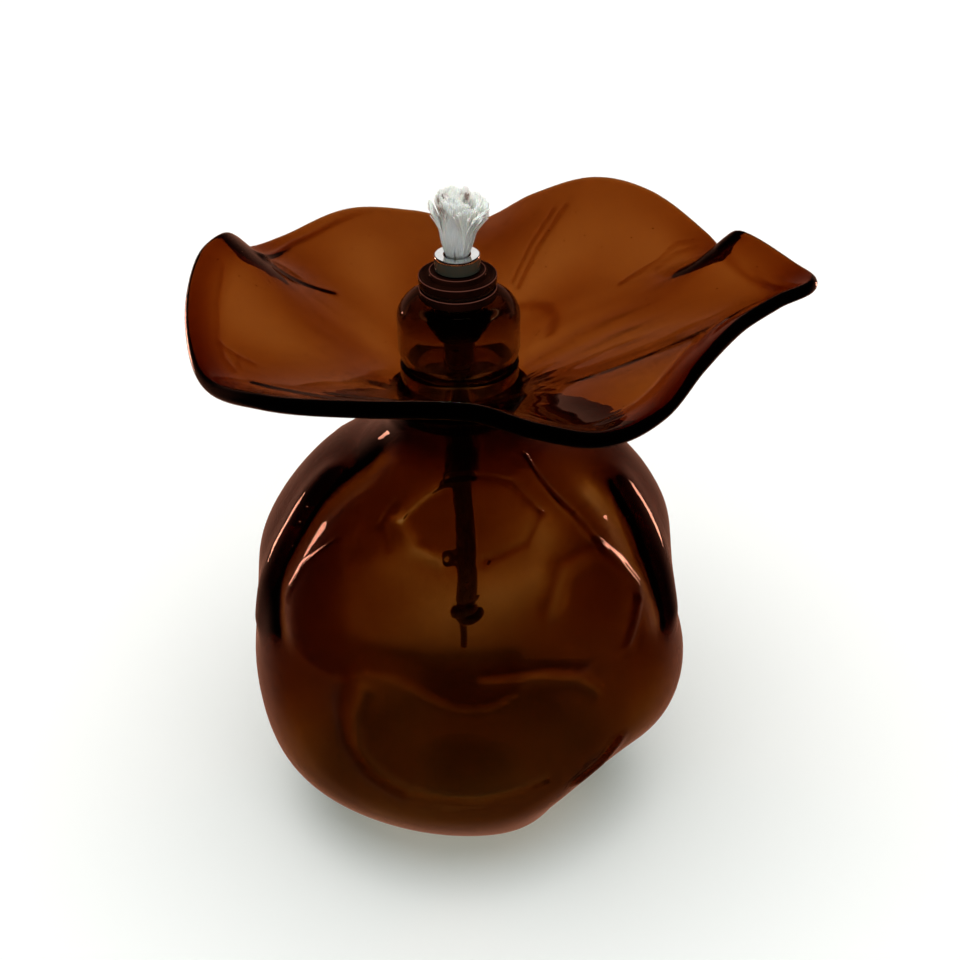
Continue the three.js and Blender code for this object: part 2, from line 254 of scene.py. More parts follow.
def metal(name, colour, rough, shaded_below=None):
    """Turned metal with fine lathe lines and handling marks. The last argument is (height in metres,
    colour): below that height the metal is painted that dark colour and is not metallic, a painted
    shade that stands in for the dark reflections on a polished side."""
    material, principled = shader(name, Metallic=1.0)
    place = object_space(material)
    lines = noise(material, object_space(material, (1, 1, 60)), 160, 2)
    marks = noise(material, place, 240, 4)
    soft = [channel * 0.86 for channel in colour]
    tone = ramp(material, marks, [(0.3, soft), (0.65, colour)])
    # Painted shade: below the height the colour is dark and not metallic, in place of dark reflections.
    if shaded_below:
        bright_from, shade_colour = shaded_below
        height = add(material, "ShaderNodeSeparateXYZ", {"Vector": place}).outputs["Z"]
        bright = maths(material, "GREATER_THAN", height, bright_from)
        tone = blend(material, bright, (*shade_colour, 1), tone)
        link(material, bright, principled.inputs["Metallic"])
    link(material, tone, principled.inputs["Base Color"])
    worn = ramp(material, marks, [(0.35, grey(rough)), (0.8, grey(rough * 2.2))])
    link(material, worn, principled.inputs["Roughness"])
    link(material, bump(material, lines, 0.02 * MM, 0.25), principled.inputs["Normal"])
    return material


def fibre(name, colour, shade, scorch=None):
    """Glass-fibre yarn: slightly translucent, with fine filaments. scorch is the colour of the
    burnt spots, where "scorch" is 1 on the mesh."""
    material, principled = shader(
        name, Roughness=0.55, Sheen_Weight=0.35, Sheen_Roughness=0.4, Subsurface_Weight=0.25,
        Subsurface_Scale=0.8 * MM,
    )
    place = object_space(material)
    threads = noise(material, object_space(material, (1, 1, 0.12)), 2600, 3)
    tone = ramp(material, threads, [(0.3, shade), (0.62, colour)])
    if scorch:
        patch = ramp(material, noise(material, place, 900, 3), [(0.3, grey(0.35)), (0.6, grey(1))])
        burnt = maths(material, "MULTIPLY", attribute(material, "scorch"), patch)
        tone = blend(material, burnt, tone, (*scorch, 1))
    link(material, tone, principled.inputs["Base Color"])
    link(material, bump(material, threads, 0.06 * MM, 0.6), principled.inputs["Normal"])
    return material


AMBER = (0.96, 0.9, 0.86)
DISH_GLASS = glass("dish_glass", (565, 1090, 1830), AMBER, bubbles=190)
BULB_GLASS = glass("bulb_glass", (500, 850, 1400), AMBER, bubbles=170)
BARREL_GLASS = glass("barrel_glass", (245, 330, 430), AMBER, waves=0.1 * MM)
SILICONE = glass(
    "seat_silicone", (170, 260, 380), (0.95, 0.88, 0.8), waves=0.05 * MM, ior=1.41, haze=0.12
)
CAP_GLASS = dark_gloss("cap_glass")
RUBBER = rubber("seal_rubber")
# Painted shade: the dark colour of the ring's side below RING_BRIGHT_Z, in place of the dark reflections
# there.
RING_SIDE_SHADE = (0.04, 0.046, 0.034)
RING_METAL = metal("ring_metal", (0.86, 0.87, 0.85), 0.07, (RING_BRIGHT_Z * MM, RING_SIDE_SHADE))
TUBE_METAL = metal("tube_metal", (0.05, 0.03, 0.02), 0.25)
WHITE_FIBRE = fibre("white_fibre", (0.98, 0.955, 0.9), (0.84, 0.84, 0.78), (0.14, 0.05, 0.02))
OILED_FIBRE = fibre("oiled_fibre", (0.34, 0.26, 0.17), (0.2, 0.14, 0.08))


# ---- Mesh helpers ----
def build(name, vertices, faces, material, body, slot, replaces):
    """A smooth mesh piece from vertices in millimetres, riding on a CAD body in place of nodes."""
    mesh = bpy.data.meshes.new(name)
    mesh.from_pydata((np.asarray(vertices, float) * MM).tolist(), [], faces)
    mesh.polygons.foreach_set("use_smooth", [True] * len(mesh.polygons))
    mesh.materials.append(material)
    mesh.update()
    piece = bpy.data.objects.new(name, mesh)
    bpy.context.scene.collection.objects.link(piece)
    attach(piece, body)
    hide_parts(*replaces)
    return piece


def skin(rings, looped=False, start=None, end=None):
    """Vertices and faces of a surface through rings of points. start and end are poles."""
    rings = np.asarray(rings, float)
    rows, around = rings.shape[:2]
    vertices = list(rings.reshape(-1, 3))
    faces = []
    for row in range(rows if looped else rows - 1):
        here, there = row * around, (row + 1) % rows * around
        for k in range(around):
            n = (k + 1) % around
            faces.append((here + k, here + n, there + n, there + k))
    if start is not None:
        vertices.append(np.array(start, float))
        faces += [(len(vertices) - 1, (k + 1) % around, k) for k in range(around)]
    if end is not None:
        vertices.append(np.array(end, float))
        last = (rows - 1) * around
        faces += [(len(vertices) - 1, last + k, last + (k + 1) % around) for k in range(around)]
    return vertices, faces


def smooth(x, low, high):
    """Soft step from 0 at low to 1 at high."""
    s = np.clip((x - low) / (high - low), 0, 1)
    return s * s * (3 - 2 * s)


def round_about(angles):
    """Points of the unit circle at angles in radians."""
    return np.stack([np.cos(angles), np.sin(angles)], -1)


def turned(profile, around=128):
    """Closed lathe piece from a profile of (radius, height), anticlockwise with the axis left."""
    way = round_about(np.arange(around) * 2 * math.pi / around)
    rings = [np.column_stack([r * way, np.full(around, z)]) for r, z in profile]
    return skin(rings, looped=True)


def rounded(corners, steps=6):
    """Closed profile with its corners rounded. A corner is (radius, height, fillet)."""
    points = []
    count = len(corners)
    for i, (r, z, fillet) in enumerate(corners):
        here = np.array([r, z])
        if fillet <= 0:
            points.append(here)
            continue
        before = np.array(corners[i - 1][:2]) - here
        after = np.array(corners[(i + 1) % count][:2]) - here
        reach = min(fillet, 0.45 * np.linalg.norm(before), 0.45 * np.linalg.norm(after))
        a = here + before / np.linalg.norm(before) * reach
        b = here + after / np.linalg.norm(after) * reach
        for s in np.linspace(0, 1, steps):
            points.append((1 - s) ** 2 * a + 2 * s * (1 - s) * here + s * s * b)
    return points


def catmull(points, t):
    """Point of a uniform Catmull-Rom spline, t from 0 to 1."""
    points = np.asarray(points, float)
    last = len(points) - 1
    place = t * last
    i = min(int(place), last - 1)
    w = place - i
    p = [points[min(max(i + k, 0), last)] for k in (-1, 0, 1, 2)]
    m1, m2 = (p[2] - p[0]) / 2, (p[3] - p[1]) / 2
    return (
        (2 * p[1] - 2 * p[2] + m1 + m2) * w**3
        + (-3 * p[1] + 3 * p[2] - 2 * m1 - m2) * w**2
        + m1 * w + p[1]
    )


def trail_height(points, trail, height, width):
    """Ridge (+) or groove (-) along a line of points: its height at each of the points."""
    nearest = np.full(len(points), np.inf)
    for a, b in zip(trail[:-1], trail[1:]):
        run = b - a
        s = np.clip((points - a) @ run / (run @ run), 0, 1)
        nearest = np.minimum(nearest, np.linalg.norm(points - a - s[:, None] * run, axis=1))
    return height * np.exp(-((nearest / width) ** 2))


# ---- Reservoir bulb ----
# Profile and swells as in the frame: [radius, height], then azimuth, elevation, reach in
# degrees and height in mm of each swell (+) or dent (-).
BULB_OUTSIDE = [
    [FOOT_R, 0], [46, 11], [68, 38], [BULB_R, BULB_MID_Z], [72, 107], [55, 134], [35, 147.5],
    [26, 156], [NECK_R, 163], [NECK_R, BULB_HIGH - LIP_HEIGHT],
]
LUMPS = [
    [25, 38, 32, 5], [150, 38, 26, 0.5], [0, 13, 13, -5], [345, -12, 20, 4], [320, -38, 17, -9],
    [205, -32, 26, 4.5], [300, -52, 14, 2], [309, 12, 17, -6], [270, 55, 16, -4], [186, 12, 12, -3],
    [228, 8, 14, -3], [95, 5, 30, -5], [60, -30, 22, 4],
]
# Marks of the blowing: (azimuth, elevation) points of a line, height in mm, width in degrees.
BULB_TRAILS = [
    ([(240, 59), (247, 65), (258, 69)], -1.2, 1.2),
    ([(258, 69), (273, 70), (300, 67), (306, 58)], 0.8, 0.7),
    ([(306, 58), (294, 52), (278, 50)], 0.7, 0.8),
    ([(278, 50), (262, 51)], 0.2, 1.1),
    ([(262, 51), (251, 53), (240, 59)], -1.2, 1.7),
    ([(236, 62), (235, 56), (242, 51)], 0.7, 0.7),
    ([(293, 36), (303, 46), (320, 45), (328, 30), (319, 18)], 0.9, 1.3),
    ([(297, 35), (305, 43), (313, 44)], -0.9, 2.0),
    ([(350, 48), (345, 37), (342, 28), (341, 16)], 1.5, 5.0),
    ([(337, 54), (331, 35), (334, 17)], -1.8, 4.5),
    ([(190, 55), (197, 41), (199, 30), (198, 15)], 1.5, 4.5),
    ([(209, 70), (207, 58), (208, 45), (208, 30), (213, 20)], -1.5, 4.0),
    ([(238, 18), (236, 8), (238, -2), (244, -11), (252, -16)], 0.6, 2.2),
    ([(244, 17), (241, 8), (242, -2), (247, -9), (255, -13), (272, -15), (290, -12)], -0.5, 1.8),
    ([(275, 21), (290, 20), (302, 15), (309, 8)], -0.7, 1.6),
    ([(275, 24), (291, 23), (304, 18)], 0.7, 1.2),
    ([(319, 71), (318, 58), (320, 43), (326, 27)], 0.9, 0.6),
    ([(317, 68), (316, 58), (318, 44)], -0.7, 0.6),
    ([(222, 48), (214, 38), (212, 28)], 0.8, 0.5),
    ([(303, -20), (310, -17), (315, -11)], 0.9, 2.2),
    ([(60, 40), (75, 20), (100, 5), (130, -10)], 0.8, 4.0),
    ([(140, 45), (130, 25), (150, 5)], 0.7, 3.0),
    ([(20, 30), (35, 5), (30, -25)], -0.9, 4.0),
]
# Where the wall is thicker (+) or thinner (-): azimuth, elevation, reach in degrees, mm.
BULB_THICKNESS = [
    [273, 62, 20, -0.9], [264, 38, 9, -0.7], [284, 42, 7, -0.9], [305, 54, 7, -1.5],
    [296, 44, 5, -0.9], [312, 33, 11, 0.5], [312, 4, 16, 0.4], [258, 6, 12, -0.4],
    [205, 65, 12, -0.6], [340, 56, 12, -0.5], [245, 50, 6, -0.6], [60, 20, 22, -0.6],
    [110, -10, 25, 0.5], [150, 30, 18, -0.6], [350, -5, 20, -0.4],
]
# Painted shade: a band of thicker, darker glass that stands in for the dish's shadow on the floor
# seen through the bulb. Its lower edge: azimuth, elevation of the edge and how far up it fades, in degrees.
SHADE_BAND_EDGE = [
    [204, 34, 30], [212, 23, 40], [220, 17, 44], [229, 15.5, 30], [236, 17.5, 16], [243, 21.5, 9],
    [249, 22.5, 8], [256, 20.5, 11], [264, 16, 15], [272, 14, 17], [279, 15.5, 16], [285, 19, 12],
]
SHADE_BAND_THICKNESS = 0.95


def on_sphere(azimuth, elevation):
    """Direction from azimuth and elevation in degrees."""
    a, e = np.radians(azimuth), np.radians(elevation)
    return np.stack([np.cos(a) * np.cos(e), np.sin(a) * np.cos(e), np.sin(e)], -1)


def lumps(outward, table):
    """Sum of the round swells of a table, in millimetres, in each direction."""
    total = np.zeros(len(outward))
    for azimuth, elevation, reach, rise in table:
        apart = np.arccos(np.clip(outward @ on_sphere(azimuth, elevation), -1, 1))
        total += rise * np.exp(-((apart / math.radians(reach)) ** 2))
    return total


def shade_band(outward):
    """Extra thickness of the painted shade band, with a crisp edge below."""
    azimuth = np.degrees(np.arctan2(outward[:, 1], outward[:, 0])) % 360
    elevation = np.degrees(np.arcsin(outward[:, 2]))
    table = np.array(SHADE_BAND_EDGE, float)
    over = elevation - np.interp(azimuth, table[:, 0], table[:, 1])
    fade = np.interp(azimuth, table[:, 0], table[:, 2])
    ends = smooth(azimuth, 203, 211) * (1 - smooth(azimuth, 282, 288))
    return SHADE_BAND_THICKNESS * ends * smooth(over, -0.6, 0.6) * (1 - smooth(over / fade, 0.45, 1))


def bulb_ring(radius, height, around, outside):
    """Ring of the bulb with its swells. The outside also has the marks of the blowing, and the
    inside the changes in thickness. Both fade out towards the foot and the neck."""
    angles = np.arange(around) * 2 * math.pi / around
    points = np.column_stack([radius * round_about(angles), np.full(around, height)])
    outward = points - np.array([0, 0, BULB_MID_Z])
    outward /= np.linalg.norm(outward, axis=1)[:, None]
    swell = smooth(height, 0, 14) * (1 - smooth(height, 132, 156)) * lumps(outward, LUMPS)
    fine = np.zeros(around)
    if outside:
        for line, rise, width in BULB_TRAILS:
            trail = on_sphere(*np.array(line, float).T)
            fine += trail_height(outward, trail, rise, math.radians(width))
    else:
        fine += 0.15 * np.sin(angles * 3 + height / 17) + 0.1 * np.sin(angles * 7 - height / 9)
        # The shade band thickens the wall to paint in a shadow seen through the bulb.
        fine -= lumps(outward, BULB_THICKNESS) + shade_band(outward)
    fine *= smooth(height, 0, 14) * (1 - smooth(height, 152, 160))
    return points + outward * (swell + fine)[:, None]


def wall_at(height):
    """Mean thickness of the bulb: thin low down, thick in the neck."""
    wall = BULB_WALL + (NECK_R - NECK_BORE_R - BULB_WALL) * smooth(height, 150, 160)
    return wall + (0.3 - 2.0 * (1 - smooth(height, 25, 105)))


def reservoir_bulb():
    around, outer_rows, inner_rows, step = 384, 300, 150, 0.002
    rings = []
    for i in range(outer_rows + 1):
        r, z = catmull(BULB_OUTSIDE, i / outer_rows)
        rings.append(bulb_ring(r, z, around, True))
    lip_half = (NECK_R - NECK_BORE_R) / 2
    for tilt in np.radians([22, 50, 90, 130, 158]):
        r = NECK_R - lip_half + lip_half * math.cos(tilt)
        rings.append(bulb_ring(r, BULB_HIGH + LIP_HEIGHT * (math.sin(tilt) - 1), around, False))
    for i in range(inner_rows + 1):
        t = 1 - i / inner_rows
        place = catmull(BULB_OUTSIDE, t)
        along = catmull(BULB_OUTSIDE, min(1, t + step)) - catmull(BULB_OUTSIDE, max(0, t - step))
        along /= np.linalg.norm(along)
        r, z = place + wall_at(place[1]) * np.array([-along[1], along[0]])
        rings.append(bulb_ring(r, z, around, False))
    vertices, faces = skin(rings, start=(0, 0, 0.6), end=(0, 0, BULB_WALL - 1))
    build("bulb_shell", vertices, faces, BULB_GLASS, "bulb", "bulb_glass", ["reservoir_bulb"])


reservoir_bulb()


# ---- Wavy dish ----
# Rim as in the frame: azimuth in degrees, radius and height in mm.
RIM = [
    [0, 106, 211.5], [8, 92, 216.5], [17, 92, 204], [26, 93, 203.5], [43, 91, 210],
    [58, 91, 209], [72, 90.5, 199.5], [86, 91, 187], [101, 89, 193], [116, 90, 197],
    [134, 88, 195], [148, 85, 199], [158, 80, 210], [167, 78, 216.5], [176, 81, 216],
    [186, 83.5, 210], [198, 85.5, 203.5], [213, 88, 199.5], [230, 87, 204],
    [252, 84.5, 209], [272, 84.5, 210], [285, 87, 203], [298, 88.5, 196.5],
    [312, 88, 197.5], [324, 88, 205], [336, 92, 210], [345, 101, 212.5], [352, 110.5, 212.5],
]
# Marks in the dish: (angle, radius) points of a line, height in mm, width in mm.
DISH_TRAILS = [
    ([(61, 80), (63, 62), (62, 44)], 0.6, 0.7),
    ([(64, 79), (66, 62), (66, 46)], 0.5, 0.6),
    ([(25, 91), (28, 84), (26, 76), (25, 60)], 0.6, 0.7),
    ([(23, 90), (25, 82), (23, 72)], 0.5, 0.6),
    ([(113, 88), (122, 85), (135, 83), (150, 78), (160, 70)], 0.9, 1.3),
    ([(160, 72), (155, 62), (145, 52)], 0.5, 1.2),
    ([(176, 76), (187, 77), (197, 78.5), (204, 79), (209, 78)], 0.45, 0.6),
    ([(199, 79), (203, 74), (206, 70)], 0.45, 0.6),
    ([(203, 74), (208, 76)], 0.4, 0.5),
    ([(215, 76), (235, 66), (252, 58), (262, 52)], 0.5, 0.9),
    ([(230, 60), (248, 50), (262, 44)], 0.5, 1.0),
    ([(8, 86), (358, 96), (350, 106)], 0.6, 1.0),
    ([(352, 104), (356, 99), (2, 95)], 0.5, 0.7),
    ([(330, 84), (338, 86), (345, 92), (350, 99)], 0.5, 0.8),
    ([(300, 80), (318, 80), (330, 82)], 0.4, 1.1),
    ([(58, 36), (50, 39), (41, 40), (32, 38.5), (24, 34)], 0.5, 2.0),
]


def around_rim(angle, column):
    """Closed Hermite curve through a column of RIM, at angles in degrees."""
    table = np.array(RIM, float)
    count = len(table)
    turn = np.mod(np.asarray(angle, float), 360)
    i = np.searchsorted(table[:, 0], turn, side="right") - 1

    def value(k):
        return table[k % count, column]

    def place(k):
        return table[k % count, 0] + 360 * (k // count)

    def slope(k):
        return (value(k + 1) - value(k - 1)) / (place(k + 1) - place(k - 1))

    width = place(i + 1) - place(i)
    s = (turn - place(i)) / width
    rise = value(i + 1) - value(i)
    bend = (1 - s) * (slope(i) * width - rise) - s * (slope(i + 1) * width - rise)
    return value(i) + s * rise + s * (1 - s) * bend


def softened_rim(angle, t, column):
    """Column of RIM averaged over a stretch that widens inwards: the folds fade in the bowl."""
    reach = 60 * (1 - t)
    return sum((3 - abs(k)) / 9 * around_rim(angle + reach * k / 2, column) for k in range(-2, 3))


def dish_middle(angle, t):
    """Middle of the wall along a cubic curve, t from 0 at the top of the spigot to 1 at the rim."""
    rim_r, rim_z = softened_rim(angle, t, 1), softened_rim(angle, t, 2)
    tube = (SPIGOT_R + THROAT_R) / 2
    weights = [(1 - t) ** 3, 3 * t * (1 - t) ** 2, 3 * t * t * (1 - t), t**3]
    radii = [tube, tube + 0.6, tube + 0.45 * (rim_r - tube), rim_r]
    heights = [SPIGOT_TOP_Z, THROAT_FLARE_Z, BOWL_Z, rim_z]
    r = sum(weight * radius for weight, radius in zip(weights, radii))
    z = sum(weight * height for weight, height in zip(weights, heights))
    return np.column_stack([r[:, None] * round_about(np.radians(angle)), z])


def dish_frame(angle, t):
    """Middle of the wall, the direction towards the rim and the one up out of the bowl."""
    step, half_degree = 0.004, 0.5
    along = dish_middle(angle, min(1, t + step)) - dish_middle(angle, max(0, t - step))
    across = dish_middle(angle + half_degree, t) - dish_middle(angle - half_degree, t)
    along /= np.linalg.norm(along, axis=1)[:, None]
    up = np.cross(along, across)
    return dish_middle(angle, t), along, up / np.linalg.norm(up, axis=1)[:, None]


def dish_marks(points):
    """Height of the ridges on the upper side, from where each point lies seen from above."""
    flat = points[:, :2]
    height = np.zeros(len(flat))
    for line, rise, width in DISH_TRAILS:
        way, far = np.radians([a for a, _ in line]), np.array([r for _, r in line], float)
        height += trail_height(flat, far[:, None] * round_about(way), rise, width)
    return height


def wave_dish():
    around, rows, bead_steps = 432, 120, 12
    angle = np.arange(around) * 360 / around
    rim_half = 1.9 - 0.7 * np.sin(np.radians(angle))

    def side(t, tilt):
        """Ring on the wall's surface: tilt is -90 degrees below, 90 above, 0 at the rim's edge."""
        middle, along, up = dish_frame(angle, t)
        half = DISH_WALL / 2 + (rim_half - DISH_WALL / 2) * smooth(t, 0.9, 1)
        if tilt > 0:
            half = half + dish_marks(middle) * (1 - smooth(t, 0.93, 1)) * math.sin(tilt)
        else:
            waves = 0.16 * np.sin(np.radians(5 * angle) + 9 * t) + 0.1 * np.sin(np.radians(11 * angle))
            half = half + waves * smooth(t, 0.1, 0.4) * (1 - smooth(t, 0.85, 1))
        return middle + up * (half * math.sin(tilt))[:, None] + along * (half * math.cos(tilt))[:, None]

    below, above = -math.pi / 2, math.pi / 2
    rings = [side((j / rows) ** 0.9, below) for j in range(rows + 1)]
    rings += [side(1, below + math.pi * j / bead_steps) for j in range(1, bead_steps)]
    rings += [side((j / rows) ** 0.9, above) for j in range(rows, -1, -1)]
    way, chamfer = round_about(np.radians(angle)), 0.6
    spigot_end = [
        (THROAT_R, DISH_LOW + chamfer), (THROAT_R + chamfer, DISH_LOW),
        (SPIGOT_R - chamfer, DISH_LOW), (SPIGOT_R, DISH_LOW + chamfer),
    ]
    for r, z in spigot_end:
        rings.append(np.column_stack([r * way, np.full(around, z)]))
    vertices, faces = skin(rings, looped=True)
    build("dish_shell", vertices, faces, DISH_GLASS, "dish", "dish_glass", ["wave_dish"])


wave_dish()


# ---- Burner ----
def burner_barrel():
    """Glass barrel with a thick round shoulder, a round haunch and a hollow stem."""
    shoulder, haunch, inner, lip = 7, 9, 6, 0.8

    def arc(r, z, radius, start, end, steps=18):
        turns = np.radians(np.linspace(start, end, steps))
        return list(np.array([r, z]) + radius * round_about(turns))

    low, high = BARREL_BASE_Z, BARREL_HIGH
    ceiling = high - BARREL_TOP_WALL
    profile = [(STEM_R, STEM_LOW + 1)]
    profile += arc(STEM_R + 1, low - 1, 1, 180, 90, 5)
    profile += arc(BARREL_R - haunch, low + haunch, haunch, -90, 0)
    profile += arc(BARREL_R - shoulder, high - shoulder, shoulder, 0, 90)
    profile += arc(MOUTH_R + lip, high - lip, lip, 90, 180, 7)
    profile += arc(MOUTH_R + lip, ceiling + lip, lip, 180, 270, 7)
    profile += arc(BARREL_R - BARREL_WALL - inner, ceiling - inner, inner, 90, 0)
    profile += arc(BARREL_R - haunch, low + haunch, haunch - BARREL_WALL, 0, -90)
    inside_low = low + BARREL_WALL
    profile += [(STEM_BORE_R + 0.6, inside_low), (STEM_BORE_R, inside_low - 0.6)]
    profile += [(STEM_BORE_R, STEM_LOW + 0.6), (STEM_BORE_R + 0.5, STEM_LOW), (STEM_R - 0.5, STEM_LOW)]
    vertices, faces = turned(profile, 144)
    build("barrel_shell", vertices, faces, BARREL_GLASS, "burner", "barrel_glass", ["burner_barrel"])


burner_barrel()


def seat_ring():
    """Soft ring that lines the throat and cups the barrel's haunch. Corners as in the frame."""
    sleeve_r, cup_r = THROAT_R - GAP, 19.5
    vertices, faces = turned(rounded([
        (SEAT_BORE_R, SEAT_LOW, 0.5), (sleeve_r, SEAT_LOW, 0.5), (sleeve_r, 168.4, 0.5),
        (17.2, 171.4, 0.5), (18.9, 173.8, 0.8), (cup_r, 175.4, 0.5), (cup_r, 179.8, 0.5),
        (18.1, 180.3, 0.4), (16, 178.5, 0.6), (SEAT_BORE_R, 177.7, 0.3),
    ]))
    build("seat_ring_soft", vertices, faces, SILICONE, "dish", "seat_silicone", ["seat_ring"])


seat_ring()


def paint_edge_highlights(piece, places):
    """Paints highlight lines on the thin edges of a cap piece, into its 'edge' attribute, at places given as
    (radius, height) in millimetres.
    """
    reach = 0.12
    points = np.array([vertex.co for vertex in piece.data.vertices]) / MM
    profile = np.column_stack([np.hypot(points[:, 0], points[:, 1]), points[:, 2]])
    highlight = np.zeros(len(points))
    for place in places:
        highlight = np.maximum(highlight, np.exp(-((np.linalg.norm(profile - place, axis=1) / reach) ** 2)))
    piece.data.attributes.new("edge", "FLOAT", "POINT").data.foreach_set("value", highlight.astype(np.float32))


def cap():
    """Plug, flange, gasket, disc and raised middle, all round the wick tube."""
    hole, plug = TUBE_R + GAP, MOUTH_R - GAP
    low, split = BARREL_HIGH + GAP, span("cap_collar")[1][2]
    collar = turned(rounded([
        (hole, PLUG_LOW, 0.2), (hole + 0.8, PLUG_LOW, 0.3), (plug, PLUG_LOW + PLUG_TAPER, 0.8),
        (plug, low, 0.2), (CAP_R, low, 0.35), (CAP_R, split, 0.35), (hole, split, 0.2),
    ]))
    lower = build("cap_lower", *collar, CAP_GLASS, "holder", "dark_glass", ["cap_collar"])
    # Painted highlight along the collar's top edge.
    paint_edge_highlights(lower, [(CAP_R - 0.1, split - 0.1)])
    (_, _, gasket_low), (gasket_r, _, gasket_high) = span("cap_gasket")
    gasket = turned(rounded([
        (hole, gasket_low, 0.1), (gasket_r, gasket_low, 0.25), (gasket_r, gasket_high, 0.25),
        (hole, gasket_high, 0.1),
    ]))
    build("cap_seal", *gasket, RUBBER, "holder", "seal_rubber", ["cap_gasket"])
    plate_low, face, dip = span("cap_plate")[0][2], CAP_HIGH - CAP_STEP_HEIGHT, 0.25
    plate = turned(rounded([
        (hole, plate_low, 0.1), (CAP_R, plate_low, 0.3), (CAP_R, face, 0.45), (CAP_R - 0.9, face, 0.2),
        (CAP_R - 1.1, face - dip, 0.2), (9.7, face - dip, 0.2), (9.4, CAP_HIGH - 0.3, 0.35),
        (8.6, CAP_HIGH, 0.3), (8.1, CAP_HIGH - dip, 0.2), (hole, CAP_HIGH - dip, 0.1),
    ]))
    upper = build("cap_upper", *plate, CAP_GLASS, "holder", "dark_glass", ["cap_plate"])
    # Painted highlights along the disc's outer edge and the rim of the raised middle.
    paint_edge_highlights(upper, [(CAP_R - 0.15, face - 0.15), (8.9, CAP_HIGH - 0.1)])


cap()


def tube_and_ring():
    """Wick tube, and the polished ring that sits over its top end."""
    tube_low, tube_high = span("wick_tube")[0][2], span("wick_tube")[1][2]
    tube = turned(rounded([
        (TUBE_BORE_R, tube_low, 0.2), (TUBE_R, tube_low, 0.25), (TUBE_R, tube_high, 0.2),
        (TUBE_BORE_R, tube_high, 0.2),
    ]))
    build("inner_tube", *tube, TUBE_METAL, "holder", "tube_metal", ["wick_tube"])
    seat, ledge = TUBE_R + GAP, RING_HIGH - 0.8
    ring = turned(rounded([
        (seat, RING_LOW, 0.15), (RING_R, RING_LOW, 0.4), (RING_R, RING_HIGH, 0.55),
        (TUBE_BORE_R + 0.25, RING_HIGH, 0.5), (TUBE_BORE_R, ledge, 0.1), (seat, ledge, 0.1),
    ]), 160)
    build("ferrule", *ring, RING_METAL, "holder", "ring_metal", ["wick_ring"])


tube_and_ring()


# ---- Wick ----
def sides_along(path):
    """Two side directions at each point of a path, turning as little as they can."""
    tangents = np.gradient(path, axis=0)
    tangents /= np.linalg.norm(tangents, axis=1)[:, None]
    side = np.cross(tangents[0], (1, 0, 0) if abs(tangents[0][0]) < 0.9 else (0, 1, 0))
    sides = []
    for tangent in tangents:
        side = side - tangent * (side @ tangent)
        side /= np.linalg.norm(side)
        sides.append(side)
    sides = np.array(sides)
    return sides, np.cross(tangents, sides)


def sweep(path, radius_at, around):
    """Closed tube along a path. radius_at(turns, run) gives the radius round each ring."""
    path = np.asarray(path, float)
    side, other = sides_along(path)
    turns = np.arange(around) * 2 * math.pi / around
    run = np.concatenate([[0], np.cumsum(np.linalg.norm(np.diff(path, axis=0), axis=1))])
    rings = []
    for i, point in enumerate(path):
        r = radius_at(turns, run[i])[:, None]
        rings.append(point + r * (np.cos(turns)[:, None] * side[i] + np.sin(turns)[:, None] * other[i]))
    return skin(rings, start=path[0], end=path[-1])


def braid(radius, strands=8, pitch=14.0, depth=0.13):
    """Radius of a round plait: two families of strands that cross and pass over each other."""
    def radius_at(turns, run):
        one = strands / 2 * (turns + 2 * math.pi * run / pitch)
        two = strands / 2 * (turns - 2 * math.pi * run / pitch)
        over = np.cos(one) * np.cos(two)
        crown = np.maximum(np.abs(np.cos(one)), np.abs(np.cos(two)))
        return radius * (1 - depth + depth * (0.55 * crown + 0.45 * over))
    return radius_at


def dense(route, step):
    """Points about a step apart on the Catmull-Rom curve through a route, and its length."""
    rough = np.array([catmull(route, t) for t in np.linspace(0, 1, 400)])
    length = np.linalg.norm(np.diff(rough, axis=0), axis=1).sum()
    return np.array([catmull(route, t) for t in np.linspace(0, 1, int(length / step) + 1)]), length


def wick_inside():
    """Straight stretch through stem and tube."""
    low, high, rings = span("wick_core")[0][2], span("wick_core")[1][2], 240
    path = np.column_stack([np.zeros(rings), np.zeros(rings), np.linspace(low, high, rings)])
    vertices, faces = sweep(path, braid(WICK_R), 48)
    build("wick_braid", vertices, faces, OILED_FIBRE, "wick", "wick_soaked", ["wick_core"])


wick_inside()


def knot_path():
    """Overhand knot between the tail above and the short end below."""
    middle, drop = (KNOT_HIGH + KNOT_LOW) / 2, KNOT_HIGH - KNOT_LOW - 5.4
    points = []
    for s in np.linspace(0, 1, 90):
        a = 4 * math.pi * s + 0.6
        r = 2.7 + 1.2 * math.cos(1.5 * a)
        z = middle + (0.5 - s) * drop + 1.3 * math.sin(1.5 * a)
        points.append([r * math.cos(a), 0.8 * r * math.sin(a), z])
    return points


def wick_tail():
    """Free tail below the stem, its knot and the short end under it."""
    path, length = dense(TAIL_ROUTE, 0.28)
    vertices, faces = sweep(path, braid(WICK_R), 56)
    tail = build("wick_tail_braid", vertices, faces, OILED_FIBRE, "wick", "wick_soaked", ["wick_tail"])
    vertices, faces = sweep(knot_path(), braid(2.4, 6, 8.0, 0.16), 36)
    knot = build("wick_knot_loops", vertices, faces, OILED_FIBRE, "wick", "wick_soaked", ["wick_knot"])
    end_low, end_high = span("knot_end")[0][2], span("knot_end")[1][2]
    end_path, _ = dense([[0, 0, end_high], [0.3, 0.2, 63], [0, 0, end_low + 0.2]], 0.25)
    vertices, faces = sweep(end_path, braid(1.5, 6, 9.0, 0.18), 32)
    end = build("wick_knot_tail", vertices, faces, OILED_FIBRE, "wick", "wick_soaked", ["knot_end"])


wick_tail()


